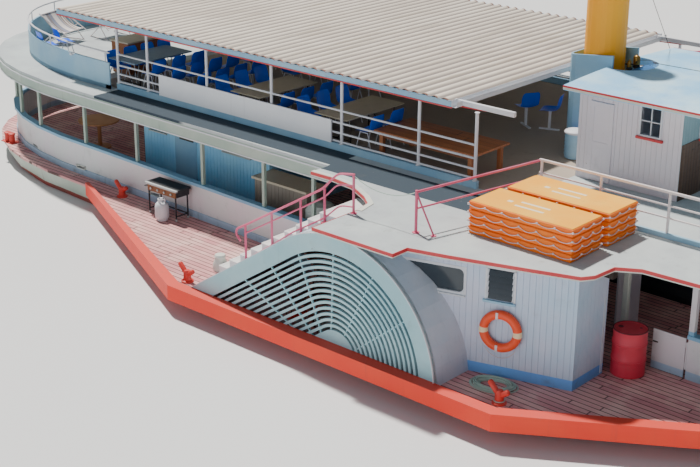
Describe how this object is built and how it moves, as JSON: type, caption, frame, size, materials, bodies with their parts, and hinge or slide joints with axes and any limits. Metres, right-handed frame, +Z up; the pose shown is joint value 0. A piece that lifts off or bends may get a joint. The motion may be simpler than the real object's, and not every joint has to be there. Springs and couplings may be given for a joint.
{
  "type": "paddle steamer",
  "caption": "Side-wheel paddle steamer with slotted paddle boxes, an open saloon, a roofed upper deck, a wheelhouse and a tall funnel; wheels, rudder, helm, doors and gates move.",
  "frame": {"origin": "on the waterline, on the centreline, straight below the paddle shaft", "axes": "+X to the bow, +Y to port, +Z up"},
  "size_m": [31.7, 14.88, 8.1],
  "materials": {
    "hull_paint": "matt pale grey-green paint with a red boot-top, weathered",
    "deck_planks": "worn red-brown planking with dark seams",
    "strake_paint": "orange-red paint, lighter on top",
    "face_paint": "grey-teal paint",
    "pale_blue_paint": "pale blue paint on boarded walls",
    "blue_grey_paint": "blue-grey paint",
    "cream_paint": "cream paint, weathered",
    "white_paint": "white gloss paint",
    "deck_canvas": "painted canvas on boards",
    "roof_sheet": "corrugated sheet, stained",
    "ochre_paint": "ochre-yellow paint",
    "lilac_paint": "white-lilac paint on boarded walls",
    "red_paint": "red paint",
    "pink_paint": "faded pink paint",
    "orange_float": "orange coated foam",
    "wheel_steel": "dark red-brown paint, wet",
    "brass": "dull brass",
    "timber": "varnished timber",
    "beige_top": "beige laminate",
    "grey_top": "grey-blue laminate",
    "rope": "faded green and white rope",
    "black_metal": "black painted iron"
  },
  "bodies": {
    "boat": {"hull": "hull_paint", "main_deck": "deck_planks", "guard_port": "strake_paint", "guard_starboard": "strake_paint", "paddle_face_port": "face_paint", "paddle_face_starboard": "face_paint", "paddle_cover_port": "pale_blue_paint", "paddle_cover_starboard": "pale_blue_paint", "stair_port": "pink_paint", "stair_starboard": "pink_paint", "deckhouse_port": "pale_blue_paint", "deckhouse_starboard": "pale_blue_paint", "engine": "black_metal", "boiler": "black_metal", "house_bulwark": "cream_paint", "valance": "cream_paint", "fore_house": "pale_blue_paint", "bow_bulwark": "blue_grey_paint", "upper_deck": "deck_canvas", "cabin": "pale_blue_paint", "serving_counter": "timber", "pedestal_table": "timber", "water_tank": "cream_paint", "stern_panel": "blue_grey_paint", "upper_rail_port": "white_paint", "upper_rail_starboard": "white_paint", "sign_board": "white_paint", "roof": "roof_sheet", "funnel": "ochre_paint", "funnel_shield": "blue_grey_paint", "whistle": "brass", "wheelhouse": "lilac_paint", "wheelhouse_roof": "pale_blue_paint", "steering_stand": "timber", "fore_rail": "pink_paint", "float_stack_outer": "orange_float", "float_stack_inner": "orange_float", "table_grey": "grey_top", "table_beige": "beige_top", "table_timber": "timber", "bollard_aft_port": "red_paint", "bollard_aft_starboard": "red_paint", "bollard_mid_port": "red_paint", "bollard_mid_starboard": "red_paint", "bollard_fore_port": "red_paint", "bollard_fore_starboard": "red_paint", "oil_drum": "red_paint", "rope_coil": "rope", "rope_lead": "rope", "stair_rope": "rope", "fore_hatch": "deck_planks", "lifebuoy": "orange_float", "barbecue": "black_metal"},
    "wheels": {"paddle_wheels": "wheel_steel"},
    "rudder": {"rudder": "red_paint"},
    "helm": {"ships_wheel": "timber"},
    "bridge_door": {"wheelhouse_door": "lilac_paint"},
    "saloon_door": {"cabin_door": "blue_grey_paint"},
    "port_gate": {"gate_port": "cream_paint"},
    "starboard_gate": {"gate_starboard": "cream_paint"}
  },
  "joints": [
    {"name": "paddle_turn", "type": "hinge", "parent": "boat", "child": "wheels", "pos_m": [0, 0, 0.88], "axis": [0, 1, 0], "continuous": true},
    {"name": "rudder_turn", "type": "hinge", "parent": "boat", "child": "rudder", "pos_m": [-14.7, 0, -0.5], "axis": [0, 0, 1], "range_deg": [-35, 35]},
    {"name": "helm_turn", "type": "hinge", "parent": "boat", "child": "helm", "pos_m": [2.9, 0, 3.56], "axis": [1, 0, 0], "range_deg": [-700, 700]},
    {"name": "bridge_door_swing", "type": "hinge", "parent": "boat", "child": "bridge_door", "pos_m": [2.058, -1.8123, 3.48], "axis": [0, 0, 1], "range_deg": [0, 100]},
    {"name": "saloon_door_swing", "type": "hinge", "parent": "boat", "child": "saloon_door", "pos_m": [-7.952, -3.2123, 1.47], "axis": [0, 0, 1], "range_deg": [0, 95]},
    {"name": "starboard_gate_swing", "type": "hinge", "parent": "boat", "child": "starboard_gate", "pos_m": [5.1347, -4.05, 0.93], "axis": [0, 0, 1], "range_deg": [-95, 0]},
    {"name": "port_gate_swing", "type": "hinge", "parent": "boat", "child": "port_gate", "pos_m": [5.1347, 4.05, 0.93], "axis": [0, 0, 1], "range_deg": [0, 95]}
  ],
  "couplings": [
    {"joint": "helm_turn", "follows": "rudder_turn", "ratio": 20}
  ]
}
